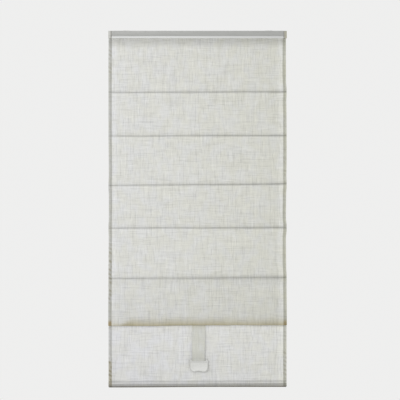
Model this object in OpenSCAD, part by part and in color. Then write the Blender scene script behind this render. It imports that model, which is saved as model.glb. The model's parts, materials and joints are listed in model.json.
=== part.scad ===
// Cordless roman blind: a linen sheet on six ribs, raised by two cords that a
// spring unit winds up inside the headrail. A strap with a handle pulls it down.
// X runs along the headrail, -Y faces the room, the mounting face is at Z = 0.

/* [Shade] */
// Width of the shade over its side hems
blind_w = 800; // [640:10:1400]
// Drop from the mounting face to the first rib
first_drop = 276; // [200:1:340]
// Mean distance from one rib to the next
rib_pitch = 208; // [160:1:260]
// How much higher every second rib sits than an even spacing
rib_stagger = 14; // [0:1:30]
// Drop from the lowest rib to the bottom edge
lower_drop = 298; // [270:1:400]
// Thickness of the cloth
cloth_t = 0.8; // [0.5:0.1:1.2]
// Width of the side hems
hem_w = 15; // [12:1:30]
// How far each panel bows out in front of its ribs
panel_bow = 7; // [3:0.5:12]
// How far the loose fold hangs below the lowest rib
fold_drop = 21; // [14:1:45]
// How far the loose fold stands out in front of the ribs
fold_reach = 15; // [13:0.5:24]
// Height of the bottom hem
bottom_hem_h = 30; // [28:1:50]

/* [Headrail] */
// Depth of the headrail
rail_depth = 42; // [42:0.5:60]
// Height of the headrail
rail_h = 28.5; // [28:0.5:40]
// Wall of the headrail
rail_wall = 1.4; // [1:0.1:2]
// Width of the inward lips along the open top
rail_lip_w = 6; // [4:0.5:7]
// Height of the rounded trim along the lower front edge
trim_h = 11.5; // [6:0.5:14]
// How far the trim reaches below the rail
trim_skirt = 5.5; // [1:0.5:8]
// Width of each end cap
cap_w = 15; // [10:1:30]
// Width of the shadow gap between an end cap and the rail
cap_reveal = 1; // [0.5:0.1:2]
// Distance from the front of the rail back to the sheet
sheet_inset = 13; // [12:0.5:16]
// Radius of the spline that holds the head of the sheet
spline_r = 2; // [1.5:0.1:2.4]

/* [Brackets] */
// Thickness of the bracket plate
bracket_t = 1.5; // [1:0.1:3]
// Width of each bracket along the rail
bracket_w = 30; // [20:1:60]
// Distance from the end of the rail to the middle of a bracket
bracket_inset = 65; // [40:1:80]
// Distance between the two screw holes of a bracket
hole_gap = 18; // [12:0.5:20]
// Radius of a screw hole
hole_r = 2.25; // [1.5:0.05:3]

/* [Ribs] */
// Radius of a rib rod
rod_r = 2; // [1.5:0.1:2.4]
// Radius of the tips on a rod
tip_r = 2.6; // [2.5:0.1:3.2]
// Length of a rod tip
tip_l = 10; // [6:1:20]
// Thickness of the pocket tape
tape_t = 0.6; // [0.4:0.1:1]
// Width of an eyelet on the rod
eyelet_w = 9; // [6:0.5:14]
// Radius of the eye that the cord runs through
eye_r = 1.6; // [1.2:0.1:2]

/* [Lift] */
// Distance from the edge of the shade to a cord
cord_inset = 160; // [140:1:220]
// Radius of a lift cord
cord_r = 0.6; // [0.4:0.1:0.8]
// Radius of a cord spool
spool_r = 6.5; // [5:0.1:6.6]
// Length of the spool between its flanges
spool_l = 36; // [24:1:50]
// Width across the flats of the lift shaft
shaft_af = 5; // [4:0.1:5.4]
// Width of the power spring
spring_w = 24; // [16:1:40]
// Radius of a spring drum over its flanges
drum_flange_r = 6.6; // [6.4:0.1:6.8]

/* [Bottom bar and pull] */
// Thickness of the bottom bar
bar_t = 4.4; // [3:0.1:6]
// Height of the bottom bar
bar_h = 15; // [10:0.5:18]
// Distance from the edge of the shade to the end of the bar
bar_inset = 8; // [4:1:20]
// Width of the pull strap
strap_w = 60; // [40:1:80]
// Distance from the lowest rib to the pivot of the handle
strap_drop = 180; // [120:1:190]
// How far the strap sits to the right of the middle
strap_x = 6; // [-40:1:40]
// Thickness of the pull handle
handle_t = 8; // [7:0.5:10]
// Wall of the handle in front of the strap's loop
grip_wall = 1.4; // [1:0.1:2]
// Radius of the two finger lobes of the handle
lobe_r = 20; // [16:0.5:24]
// Radius of the bar that the strap loops round
pivot_r = 2.5; // [2:0.1:2.8]

/* [Hidden] */
$fn = 64;

// Clearances
fit_gap = 0.15;
press_gap = 0.05;
bearing_gap = 0.08;
run_gap = 0.3;
stitch_gap = 0.2;
end_play = 0.4;
drill_past = 1;

rib_count = 6;
half_w = blind_w / 2;
rail_len = blind_w - 2 * cap_w;
rail_half = rail_depth / 2;
rail_top = -bracket_t;
rail_bottom = rail_top - rail_h;
rail_floor = rail_bottom + rail_wall;
rail_in = rail_half - rail_wall;
lip_under = rail_top - rail_wall;
lip_edge = rail_half - rail_lip_w;
trim_r = 2;
trim_bite = 1;
trim_y = trim_bite - rail_half - trim_r;
trim_low = rail_bottom - trim_skirt + trim_r;
trim_high = trim_low + trim_h - 2 * trim_r;

// Groove for the spline and the head loop of the sheet
sheet_y = sheet_inset - rail_half;
loop_r = spline_r + fit_gap;
loop_out = loop_r + cloth_t;
groove_r = loop_out + run_gap;
groove_half = groove_r + rail_wall;
groove_z = rail_bottom + groove_half;
slot_gap = 1.2;
slot_w = cloth_t + slot_gap;
loop_inset = 2;
loop_len = rail_len - 2 * loop_inset;
head_gap = 1;
sheet_top = rail_bottom - head_gap;

// Ribs
function rib_z(i) = -(first_drop + (i - 1) * rib_pitch - (i % 2 == 0 ? rib_stagger : 0));
low_z = rib_z(rib_count);
bottom_z = low_z - lower_drop;
pocket_in = tip_r + run_gap;
pocket_out = pocket_in + tape_t;
rib_y = sheet_y + cloth_t / 2 + stitch_gap + pocket_out;
pocket_len = blind_w - 2 * hem_w;
rod_len = pocket_len - tip_l;
collar_r = pocket_in - run_gap;
eye_wall = 2;
eye_out = eye_r + eye_wall;
eye_h = 6;
cord_y = rib_y + pocket_out + eye_r + eye_wall / 2;
cord_x = half_w - cord_inset;
notch_gap = 1.5;
notch_w = eyelet_w + 2 * notch_gap;
notch_front = pocket_in + tape_t / 4;
anchor_h = 12;
anchor_floor = 2;

// Lift shaft, spools and cradles
shaft_y = cord_y + cord_r + spool_r;
shaft_z = -15;
shaft_corner_r = shaft_af / 2 / cos(30);
hub_wall = 0.75;
hub_r = shaft_corner_r + hub_wall;
flange_t = 2;
spool_lip = 1.5;
spool_flange_r = spool_r + spool_lip;
spool_half = spool_l / 2 + flange_t;
wall_t = 3;
wall_near = spool_half + end_play;
wall_far = wall_near + wall_t;
cradle_lip = 3;
cradle_half = wall_far + cradle_lip;
cradle_front = sheet_y + groove_half + run_gap;
cradle_back = rail_in - run_gap;
cradle_floor = 1.6;
cradle_base = rail_floor + cradle_floor;
spout_wall = 1.4;
spout_r = eye_r + spout_wall;
spout_drop = 1.5;
shaft_end = 6;
shaft_len = 2 * (cord_x + wall_far + shaft_end);

// Spring unit
case_t = 1.5;
drum_flange_t = 1.2;
spring_play = 0.5;
drum_core_l = spring_w + 2 * spring_play;
drum_half = drum_core_l / 2 + drum_flange_t;
case_in = drum_half + end_play;
case_half = case_in + case_t;
case_top = lip_under - run_gap;
case_rim = case_top - case_t;
case_front = -(rail_in - run_gap);
case_step_z = groove_z + groove_half + run_gap;
store_r = 3;
store_pin_r = 2;
core_wall = 0.35;
output_r = hub_r + core_wall;
drum_gap = 0.6;
store_y = case_front + case_t + run_gap + drum_flange_r + drum_gap;
store_z = case_rim - run_gap - drum_flange_r;
coil_t = 0.3;
output_coil_r = drum_flange_r - drum_gap;
store_turns_t = 0.9;
store_coil_r = store_r + store_turns_t;

// Loose fold and hairpin above the lowest panel
fold_r = 4.5;
fold_y = sheet_y - fold_reach + fold_r;
fold_z = low_z - fold_drop + fold_r + cloth_t / 2;
hairpin_r = 1.8;
hairpin_y = sheet_y - hairpin_r;

// Bottom hem round the bar
wrap_r = bar_t / 2 + run_gap + cloth_t / 2;
bar_low = bottom_z + cloth_t + run_gap + bar_t / 2;
bar_high = bar_low + bar_h - bar_t;
hem_lead = 2;
hem_close = bar_high + bar_t + hem_lead;
hem_top = bottom_z + bottom_hem_h;
hem_back_y = sheet_y + cloth_t + 0.1;

// Pull strap and handle
strap_t = 1.2;
strap_top = low_z - cloth_t;
pivot_z = low_z - strap_drop;
strap_loop_r = pivot_r + stitch_gap;
strap_loop_t = 0.8;
strap_loop_out = strap_loop_r + strap_loop_t;
handle_gap = 2.5;
pivot_y = sheet_y - cloth_t / 2 - handle_gap - strap_loop_out;
cheek_wall = 3;
cheek_r = pivot_r + cheek_wall;
strap_play = 1;
window_half = strap_w / 2 + strap_play;
cheek_x = strap_w / 2 + cheek_r;
lobe_x = cheek_x + cheek_r - lobe_r;
shoulder_h = 5;
lobe_z = -(lobe_r + strap_loop_out + shoulder_h);
dip_r = 60;
dip_drop = sqrt(pow(lobe_r + dip_r, 2) - pow(lobe_x, 2));
dip_turn = atan2(dip_drop, lobe_x);
rim_w = 3;
rim_h = 1;

RIBS = [for (i = [1 : rib_count]) i];

// Extrudes a profile drawn as (y, z) along X, centred
module along_x(length) {
    rotate([90, 0, 90])
        linear_extrude(height = length, center = true)
            children();
}

// Round bar along X, centred
module bar_x(radius, length) {
    rotate([0, 90, 0])
        cylinder(r = radius, h = length, center = true);
}

// Hexagon bar along X, centred, with two corners up and down
module hex_x(corner_r, length) {
    rotate([0, 90, 0])
        cylinder(r = corner_r, h = length, center = true, $fn = 6);
}

// Copies to the left and right of the middle, mirrored
module both_ends(x) {
    for (side = [-1, 1])
        translate([side * x, 0, 0])
            mirror([side < 0 ? 1 : 0, 0, 0])
                children();
}

// Band of a given thickness between two offsets of a path
function path_dir(path, i) =
    let (a = path[max(i - 1, 0)], b = path[min(i + 1, len(path) - 1)])
    (b - a) / norm(b - a);
function path_side(path, d) = [
    for (i = [0 : len(path) - 1])
        let (t = path_dir(path, i))
        path[i] + d * [-t[1], t[0]]
];
function reversed(list) = [for (i = [len(list) - 1 : -1 : 0]) list[i]];
function band(path, d0, d1) = concat(path_side(path, d0), reversed(path_side(path, d1)));
function arc(centre, radius, a0, a1, n) = [
    for (k = [0 : n])
        let (a = a0 + (a1 - a0) * k / n)
        centre + radius * [cos(a), sin(a)]
];

// Side view of the sheet, from the slot in the rail down to its lower edge
function panel(z0, z1, n = 14) = [
    for (k = [0 : n - 1])
        let (t = (1 - cos(180 * k / n)) / 2)
        [sheet_y - panel_bow * pow(sin(180 * t), 0.4), z0 + (z1 - z0) * t]
];
function loose_panel(z0, z1, n = 14) = [
    for (k = [0 : n - 1])
        let (t = pow(k / n, 2))
        [sheet_y - fold_reach * pow(t, 0.4), z0 + (z1 - z0) * t]
];
function panel_top(i) = i == 1 ? sheet_top : rib_z(i - 1);
hanging_path = concat(
    [for (i = [1 : rib_count - 1]) each panel(panel_top(i), rib_z(i))],
    loose_panel(rib_z(rib_count - 1), fold_z),
    arc([fold_y, fold_z], fold_r, 180, 360, 10),
    arc([hairpin_y, low_z], hairpin_r, 180, 0, 10),
    [[sheet_y, (low_z + hem_top) / 2], [sheet_y, hem_top]]
);
hem_path = concat(
    [[sheet_y, hem_top], [sheet_y, hem_close]],
    [[sheet_y - wrap_r, bar_high]],
    arc([sheet_y, bar_low], wrap_r, 180, 360, 10),
    [[sheet_y + wrap_r, bar_high], [hem_back_y, hem_close], [hem_back_y, hem_top]]
);

// Upright bar profile with round ends, centred at y between two heights
module round_ended(y, low, high, radius) {
    polygon(concat(
        arc([y, high], radius, 0, 180, 12),
        arc([y, low], radius, 180, 360, 12)
    ));
}

// Headrail: channel open at the top, with a spline groove and a front trim
module rail_section() {
    difference() {
        union() {
            difference() {
                translate([-rail_half, rail_bottom])
                    square([rail_depth, rail_h]);
                translate([-rail_in, rail_floor])
                    square([2 * rail_in, rail_h - 2 * rail_wall]);
                translate([-lip_edge, lip_under - drill_past])
                    square([2 * lip_edge, rail_wall + 2 * drill_past]);
            }
            round_ended(trim_y, trim_low, trim_high, trim_r);
            translate([sheet_y - groove_half, rail_bottom])
                square([2 * groove_half, 2 * groove_half]);
        }
        translate([sheet_y, groove_z])
            circle(r = groove_r);
        translate([sheet_y - slot_w / 2, rail_bottom - drill_past])
            square([slot_w, groove_half]);
    }
}

module headrail() {
    color([0.68, 0.685, 0.665])
        difference() {
            along_x(rail_len)
                rail_section();
            both_ends(cord_x)
                translate([0, cord_y, rail_bottom - drill_past])
                    cylinder(r = spout_r + fit_gap, h = rail_wall + 2 * drill_past);
        }
}

// End cap: a block with the outline of the rail, set off by a shadow gap, and a plug
// that enters the channel
module cap_block(inset) {
    chamfer = 2;
    side = rail_half - inset;
    low = rail_bottom + inset;
    high = rail_top - inset;
    polygon([
        [-side, low + chamfer], [-side + chamfer, low],
        [side - chamfer, low], [side, low + chamfer],
        [side, high - chamfer], [side - chamfer, high],
        [-side + chamfer, high], [-side, high - chamfer]
    ]);
}

module end_cap() {
    plug_l = 10;
    plug_front = sheet_y + groove_half + run_gap;
    color([0.73, 0.73, 0.7]) {
        translate([(half_w + rail_len / 2 + cap_reveal) / 2, 0, 0])
            along_x(cap_w - cap_reveal) {
                cap_block(0);
                round_ended(trim_y, trim_low, trim_high, trim_r);
            }
        translate([rail_len / 2 + cap_w / 2, 0, 0])
            along_x(cap_w)
                cap_block(cap_reveal);
        translate([rail_len / 2 - plug_l / 2, 0, 0])
            along_x(plug_l)
                translate([plug_front, rail_floor + fit_gap])
                    square([rail_in - fit_gap - plug_front, rail_h - 2 * rail_wall - 2 * fit_gap]);
    }
}

module end_cap_left() {
    mirror([1, 0, 0])
        end_cap();
}

module end_cap_right() {
    end_cap();
}

// Bracket: a plate against the mounting face, with two legs hooked under the rail lips
module bracket() {
    leg_t = 1.5;
    leg_y = lip_edge - run_gap;
    hook_gap = 1;
    hook_y = rail_in - hook_gap;
    plate_inset = 2;
    hook_z = lip_under - fit_gap;
    leg = [
        [leg_y - leg_t, -bracket_t], [leg_y, -bracket_t], [leg_y, hook_z],
        [hook_y, hook_z], [hook_y, hook_z - leg_t], [leg_y - leg_t, hook_z - leg_t]
    ];
    color([0.8, 0.8, 0.8])
        translate([rail_len / 2 - bracket_inset, 0, 0])
            difference() {
                union() {
                    along_x(bracket_w)
                        translate([plate_inset - rail_half, -bracket_t])
                            square([rail_depth - 2 * plate_inset, bracket_t]);
                    along_x(bracket_w)
                        polygon(leg);
                    mirror([0, 1, 0])
                        along_x(bracket_w)
                            polygon(leg);
                }
                for (side = [-1, 1])
                    translate([0, side * hole_gap / 2, -bracket_t - drill_past])
                        cylinder(r = hole_r, h = bracket_t + 2 * drill_past);
            }
}

module bracket_left() {
    mirror([1, 0, 0])
        bracket();
}

module bracket_right() {
    bracket();
}

// Spline: the rod that locks the head loop of the sheet in its groove
module head_spline() {
    color([0.92, 0.92, 0.9])
        translate([0, sheet_y, groove_z])
            bar_x(spline_r, rail_len - loop_inset);
}

// Fabric sheet: one cloth with a head loop, side hems, five sewn grooves, the loose
// fold over the lowest rib and a bottom hem
module fabric_sheet() {
    color([0.83, 0.835, 0.81]) {
        along_x(loop_len)
            difference() {
                union() {
                    translate([sheet_y, groove_z])
                        circle(r = loop_out);
                    translate([sheet_y - cloth_t / 2, sheet_top - head_gap])
                        square([cloth_t, groove_z - sheet_top + head_gap]);
                }
                translate([sheet_y, groove_z])
                    circle(r = loop_r);
            }
        along_x(blind_w)
            polygon(band(hanging_path, -cloth_t / 2, cloth_t / 2));
        along_x(blind_w)
            polygon(band(hem_path, -cloth_t / 2, cloth_t / 2));
        both_ends(half_w - hem_w / 2)
            along_x(hem_w)
                polygon(band(hanging_path, cloth_t / 2, 1.5 * cloth_t));
    }
}

// Spring case: a tray stepped over the spline groove, with bearings in its end walls
module case_outline(inset) {
    polygon([
        [case_front + inset, case_top - inset], [cradle_back - inset, case_top - inset],
        [cradle_back - inset, rail_floor + inset], [cradle_front + inset, rail_floor + inset],
        [cradle_front + inset, case_step_z + inset], [case_front + inset, case_step_z + inset]
    ]);
}

module spring_case() {
    color([0.86, 0.86, 0.84])
        difference() {
            along_x(2 * case_half)
                case_outline(0);
            along_x(2 * case_in)
                case_outline(case_t);
            translate([0, 0, case_rim + rail_h / 2])
                cube([2 * (case_half + drill_past), rail_depth, rail_h], center = true);
            translate([0, shaft_y, shaft_z])
                bar_x(hub_r + bearing_gap, 2 * (case_half + drill_past));
            translate([0, store_y, store_z])
                bar_x(store_pin_r + bearing_gap, 2 * (case_half + drill_past));
        }
}

module spring_case_lid() {
    lug_l = 6;
    color([0.86, 0.86, 0.84])
        difference() {
            translate([-case_half, case_front, case_rim])
                cube([2 * case_half, cradle_back - case_front, case_t]);
            both_ends(case_half)
                translate([0, 0, case_rim])
                    cube([2 * case_t, lug_l, 4 * case_t], center = true);
        }
}

// Flanged drum along X with a journal at each end
module drum(core_r, journal_r) {
    bar_x(core_r, drum_core_l + drum_flange_t);
    both_ends(drum_half - drum_flange_t / 2)
        bar_x(drum_flange_r, drum_flange_t);
    bar_x(journal_r, 2 * case_half);
}

module output_drum() {
    color([0.3, 0.32, 0.34])
        translate([0, shaft_y, shaft_z])
            difference() {
                drum(output_r, hub_r);
                hex_x(shaft_corner_r + press_gap, 2 * (case_half + drill_past));
            }
}

module storage_drum() {
    color([0.3, 0.32, 0.34])
        translate([0, store_y, store_z])
            drum(store_r, store_pin_r);
}

// Power spring: the coil on each drum and the strip that crosses between them
module spring_coil(y, z, inner_r, outer_r) {
    translate([y, z])
        difference() {
            circle(r = outer_r);
            circle(r = inner_r);
        }
}

module power_spring() {
    store_at = [store_y, store_z];
    output_at = [shaft_y, shaft_z];
    store_line = store_coil_r - coil_t;
    output_line = output_coil_r - coil_t;
    span = output_at - store_at;
    turn = atan2(span[1], span[0]) + acos((store_line + output_line) / norm(span));
    out_dir = [cos(turn), sin(turn)];
    strip = [store_at + store_line * out_dir, output_at - output_line * out_dir];
    color([0.55, 0.57, 0.6])
        along_x(spring_w) {
            spring_coil(store_y, store_z, store_r + fit_gap, store_coil_r);
            spring_coil(shaft_y, shaft_z, output_r + fit_gap, output_coil_r);
            polygon(band(strip, -coil_t / 2, coil_t / 2));
        }
}

module lift_shaft() {
    color([0.7, 0.7, 0.72])
        translate([0, shaft_y, shaft_z])
            hex_x(shaft_corner_r, shaft_len);
}

// Spool: a flanged core with a hexagon bore and two journals
module spool() {
    journal_past = 0.5;
    color([0.93, 0.93, 0.91])
        translate([cord_x, shaft_y, shaft_z])
            difference() {
                union() {
                    bar_x(spool_r, spool_l + flange_t);
                    both_ends(spool_half - flange_t / 2)
                        bar_x(spool_flange_r, flange_t);
                    bar_x(hub_r, 2 * (wall_far + journal_past));
                }
                hex_x(shaft_corner_r + press_gap, 2 * cradle_half);
            }
}

module spool_left() {
    mirror([1, 0, 0])
        spool();
}

module spool_right() {
    spool();
}

// Cradle: a base on the rail floor, two bearing walls and a spout for the cord
module spool_cradle() {
    bearing_wall = 2.6;
    bearing_r = hub_r + bearing_wall;
    foot = 8;
    sink = 1;
    shoulder = 0.3;
    color([0.9, 0.9, 0.88])
        translate([cord_x, 0, 0])
            difference() {
                union() {
                    translate([-cradle_half, cradle_front, rail_floor])
                        cube([2 * cradle_half, cradle_back - cradle_front, cradle_base - rail_floor]);
                    both_ends((wall_near + wall_far) / 2)
                        along_x(wall_t) {
                            translate([shaft_y, shaft_z])
                                circle(r = bearing_r);
                            polygon([
                                [shaft_y - foot, rail_floor + sink], [shaft_y + foot, rail_floor + sink],
                                [shaft_y + bearing_r - shoulder, shaft_z],
                                [shaft_y - bearing_r + shoulder, shaft_z]
                            ]);
                        }
                    translate([0, cord_y, rail_bottom - spout_drop])
                        cylinder(r = spout_r, h = cradle_base - rail_bottom + spout_drop);
                }
                translate([0, shaft_y, shaft_z])
                    bar_x(hub_r + bearing_gap, 2 * cradle_half);
                translate([0, cord_y, rail_bottom - 2 * spout_drop])
                    cylinder(r = eye_r, h = rail_h / 2);
            }
}

module spool_cradle_left() {
    mirror([1, 0, 0])
        spool_cradle();
}

module spool_cradle_right() {
    spool_cradle();
}

// Lift cord, straight from its spool down to the lowest rib
module lift_cord(side) {
    knot_gap = 1;
    cord_low = low_z - anchor_h / 2 + anchor_floor + knot_gap;
    color([0.9, 0.9, 0.87])
        translate([side * cord_x, cord_y, cord_low])
            cylinder(r = cord_r, h = shaft_z - cord_low, $fn = 24);
}

module lift_cord_left() {
    lift_cord(-1);
}

module lift_cord_right() {
    lift_cord(1);
}

// One rib: a rod, its two tips, the pocket sewn to the sheet and the eyelets
module rib_rod(i) {
    color([0.88, 0.88, 0.86])
        translate([0, rib_y, rib_z(i)])
            bar_x(rod_r, rod_len);
}

module rod_tips(i) {
    end_wall = 1;
    nose_l = 1.6;
    nose_r = tip_r - 1.2;
    color([0.95, 0.95, 0.93])
        translate([0, rib_y, rib_z(i)])
            both_ends(rod_len / 2)
                rotate([0, 90, 0])
                    difference() {
                        translate([0, 0, -tip_l])
                            union() {
                                cylinder(r = tip_r, h = tip_l + end_wall);
                                translate([0, 0, tip_l + end_wall])
                                    cylinder(r1 = tip_r, r2 = nose_r, h = nose_l);
                            }
                        translate([0, 0, -tip_l - drill_past])
                            cylinder(r = rod_r + press_gap, h = tip_l + drill_past);
                    }
}

module rod_pocket(i) {
    neck_t = 2 * tape_t;
    color([0.78, 0.78, 0.75])
        translate([0, rib_y, rib_z(i)])
            difference() {
                along_x(pocket_len)
                    difference() {
                        union() {
                            circle(r = pocket_out);
                            translate([-pocket_out - stitch_gap / 2, -neck_t / 2])
                                square([pocket_out, neck_t]);
                        }
                        circle(r = pocket_in);
                    }
                both_ends(cord_x)
                    translate([-notch_w / 2, -notch_front, -2 * pocket_out])
                        cube([notch_w, 2 * pocket_out + notch_front, 4 * pocket_out]);
            }
}

// Clip on a rod with an eye behind it for the cord
module cord_clip(height, eye_depth) {
    difference() {
        union() {
            bar_x(collar_r, eyelet_w);
            translate([-eyelet_w / 4, 0, -height / 2])
                cube([eyelet_w / 2, cord_y - rib_y, height]);
            translate([0, cord_y - rib_y, -height / 2])
                cylinder(r = eye_out, h = height);
        }
        bar_x(rod_r + press_gap, eyelet_w + 2 * drill_past);
        translate([0, cord_y - rib_y, height / 2 - eye_depth])
            cylinder(r = eye_r, h = eye_depth + drill_past);
    }
}

module cord_eyelets(i) {
    color([0.95, 0.95, 0.94])
        translate([0, rib_y, rib_z(i)])
            both_ends(cord_x)
                cord_clip(eye_h, eye_h + drill_past);
}

module cord_anchors() {
    color([0.95, 0.95, 0.94])
        translate([0, rib_y, low_z])
            both_ends(cord_x)
                cord_clip(anchor_h, anchor_h - anchor_floor);
}

// Bottom bar: a flat bar with round edges in the bottom hem, with a tip at each end
module bar_section() {
    round_ended(sheet_y, bar_low, bar_high, bar_t / 2);
}

bar_len = blind_w - 2 * bar_inset;
bar_tip_l = 4;

module bottom_bar() {
    color([0.72, 0.73, 0.74])
        along_x(bar_len - 2 * bar_tip_l)
            bar_section();
}

module bottom_bar_tips() {
    color([0.9, 0.9, 0.88])
        both_ends(bar_len / 2 - bar_tip_l / 2)
            along_x(bar_tip_l)
                bar_section();
}

// Pull strap: a doubled band from the lowest rib to a loop round the handle's pivot
module pull_strap() {
    strap_path = [[hairpin_y, strap_top], [pivot_y, pivot_z + strap_loop_r]];
    color([0.79, 0.79, 0.765])
        translate([strap_x, 0, 0])
            along_x(strap_w)
                difference() {
                    union() {
                        polygon(band(strap_path, -strap_t / 2, strap_t / 2));
                        translate([pivot_y, pivot_z])
                            circle(r = strap_loop_out);
                    }
                    translate([pivot_y, pivot_z])
                        circle(r = strap_loop_r);
                }
}

// Handle: a moulded grip with two finger lobes and a raised rim. The strap's loop sits
// on a bar in a slot at the top, behind a front wall that ends level with the bar.
function grip_side(inset) = concat(
    arc([cheek_x, 0], cheek_r - inset, 90, 0, 8),
    arc([lobe_x, lobe_z], lobe_r - inset, 0, dip_turn - 180, 24),
    arc([0, lobe_z - dip_drop], dip_r + inset, dip_turn, 90, 6)
);

module grip_outline(inset) {
    right = grip_side(inset);
    polygon(concat(right, [for (k = [len(right) - 2 : -1 : 0]) [-right[k][0], right[k][1]]]));
}

module upright(thickness) {
    rotate([90, 0, 0])
        linear_extrude(height = thickness, center = true)
            children();
}

module grip_body(slot_low) {
    grip_half = cheek_x + cheek_r;
    grip_low = lobe_z - lobe_r;
    difference() {
        upright(handle_t)
            grip_outline(0);
        for (side = [-1, 1])
            translate([0, side * handle_t / 2, 0])
                upright(2 * rim_h)
                    intersection() {
                        grip_outline(rim_w);
                        translate([-grip_half, grip_low])
                            square([2 * grip_half, -grip_low - slot_low - rim_w]);
                    }
    }
}

module pull_handle() {
    pivot_seat = 1;
    slot_low = strap_loop_out + run_gap;
    grip_front = -(slot_low + grip_wall);
    color([0.85, 0.85, 0.835])
        translate([strap_x, pivot_y, pivot_z]) {
            difference() {
                translate([0, grip_front + handle_t / 2, 0])
                    grip_body(slot_low);
                translate([-window_half, -slot_low, -slot_low])
                    cube([2 * window_half, handle_t, slot_low + 2 * cheek_r]);
                translate([-window_half, -handle_t, 0])
                    cube([2 * window_half, handle_t, 2 * cheek_r]);
            }
            bar_x(pivot_r, 2 * (window_half + pivot_seat));
        }
}

headrail();
end_cap_left();
end_cap_right();
bracket_left();
bracket_right();
head_spline();
fabric_sheet();
spring_case();
spring_case_lid();
output_drum();
storage_drum();
power_spring();
lift_shaft();
spool_left();
spool_right();
spool_cradle_left();
spool_cradle_right();
lift_cord_left();
lift_cord_right();
for (i = RIBS)
    rib_rod(i);
for (i = RIBS)
    rod_tips(i);
for (i = RIBS)
    rod_pocket(i);
for (i = [1 : rib_count - 1])
    cord_eyelets(i);
cord_anchors();
bottom_bar();
bottom_bar_tips();
pull_strap();
pull_handle();
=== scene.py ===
import json
import math
import bmesh
import bpy
import numpy as np
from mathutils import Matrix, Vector

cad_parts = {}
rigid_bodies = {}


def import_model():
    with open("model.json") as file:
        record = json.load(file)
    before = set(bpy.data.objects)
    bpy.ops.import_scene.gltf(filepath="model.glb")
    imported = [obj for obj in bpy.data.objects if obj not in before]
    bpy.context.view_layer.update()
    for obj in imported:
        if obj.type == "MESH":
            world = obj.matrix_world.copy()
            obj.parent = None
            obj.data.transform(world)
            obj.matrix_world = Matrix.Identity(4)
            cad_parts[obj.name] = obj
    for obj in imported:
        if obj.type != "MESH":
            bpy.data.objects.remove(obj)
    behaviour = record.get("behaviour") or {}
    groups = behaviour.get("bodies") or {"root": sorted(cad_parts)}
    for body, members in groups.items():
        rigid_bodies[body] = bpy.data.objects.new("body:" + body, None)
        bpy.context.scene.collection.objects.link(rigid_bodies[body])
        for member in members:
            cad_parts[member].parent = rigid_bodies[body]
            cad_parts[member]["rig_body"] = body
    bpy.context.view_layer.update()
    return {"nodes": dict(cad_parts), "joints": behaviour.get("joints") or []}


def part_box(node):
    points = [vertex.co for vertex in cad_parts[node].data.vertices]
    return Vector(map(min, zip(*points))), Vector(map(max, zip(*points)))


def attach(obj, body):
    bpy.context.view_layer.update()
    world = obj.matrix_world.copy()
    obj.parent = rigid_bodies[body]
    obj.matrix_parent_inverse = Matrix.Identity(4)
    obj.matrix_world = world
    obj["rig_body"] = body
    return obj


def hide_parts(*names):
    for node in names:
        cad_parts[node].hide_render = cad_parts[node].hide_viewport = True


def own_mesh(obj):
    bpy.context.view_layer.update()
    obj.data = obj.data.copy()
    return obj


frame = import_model()
nodes = frame["nodes"]
joints = {joint["name"]: joint for joint in frame["joints"]}
scene = bpy.context.scene
scene.view_settings.view_transform = "Standard"

# straight on, at the height of the middle of the picture
viewSet = {
    "lens": 100.0, "sensor": 36.0, "viewWidth": 1.796,
    "axisX": 0.011, "axisZ": -0.760, "clothY": -0.012,
}


def makeCamera():
    data = bpy.data.cameras.new("roomCamera")
    data.lens = viewSet["lens"]
    data.sensor_width = viewSet["sensor"]
    camera = bpy.data.objects.new("roomCamera", data)
    scene.collection.objects.link(camera)
    distance = viewSet["viewWidth"] * viewSet["lens"] / viewSet["sensor"]
    camera.location = (viewSet["axisX"], viewSet["clothY"] - distance, viewSet["axisZ"])
    camera.rotation_euler = (math.radians(90), 0, 0)
    scene.camera = camera


makeCamera()
print("camera set")


# node helpers

def addNode(tree, kind, values=None, **props):
    node = tree.nodes.new(kind)
    for key, value in props.items():
        setattr(node, key, value)
    for key, value in (values or {}).items():
        feed(node.inputs[key], value)
    return node


def feed(socket, value):
    if isinstance(value, bpy.types.NodeSocket):
        socket.id_data.links.new(value, socket)
    else:
        socket.default_value = value


def calc(tree, operation, *values):
    node = addNode(tree, "ShaderNodeMath", operation=operation)
    for socket, value in zip(node.inputs, values):
        feed(socket, value)
    return node.outputs[0]


def remap(tree, value, low, high, toLow=0.0, toHigh=1.0):
    values = {"Value": value, "From Min": low, "From Max": high, "To Min": toLow, "To Max": toHigh}
    return addNode(tree, "ShaderNodeMapRange", values, interpolation_type="SMOOTHSTEP").outputs[0]


def mixColour(tree, share, a, b, mode="MIX"):
    node = addNode(tree, "ShaderNodeMix", data_type="RGBA", blend_type=mode)
    for index, value in ((0, share), (6, a), (7, b)):
        feed(node.inputs[index], value)
    return node.outputs[2]


def splitAxes(tree, vector):
    return addNode(tree, "ShaderNodeSeparateXYZ", {0: vector}).outputs


def streaks(tree, vector, size, detail=2.0):
    # noise drawn out to the given size, in metres, along each axis
    scale = [1.0 / s for s in size]
    spread = addNode(tree, "ShaderNodeMapping", {"Vector": vector, "Scale": scale})
    values = {"Vector": spread.outputs[0], "Scale": 1.0, "Detail": detail, "Roughness": 0.55}
    return addNode(tree, "ShaderNodeTexNoise", values).outputs[0]


def newGroup(name, inputs, outputs):
    tree = bpy.data.node_groups.new(name, "ShaderNodeTree")
    for label, kind, default in inputs:
        socket = tree.interface.new_socket(name=label, in_out="INPUT", socket_type=kind)
        if default is not None:
            socket.default_value = default
    for label in outputs:
        tree.interface.new_socket(name=label, in_out="OUTPUT", socket_type="NodeSocketFloat")
    return tree, tree.nodes.new("NodeGroupInput").outputs, tree.nodes.new("NodeGroupOutput").inputs


def useGroup(tree, name, values):
    return addNode(tree, "ShaderNodeGroup", values, node_tree=bpy.data.node_groups[name]).outputs


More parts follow.
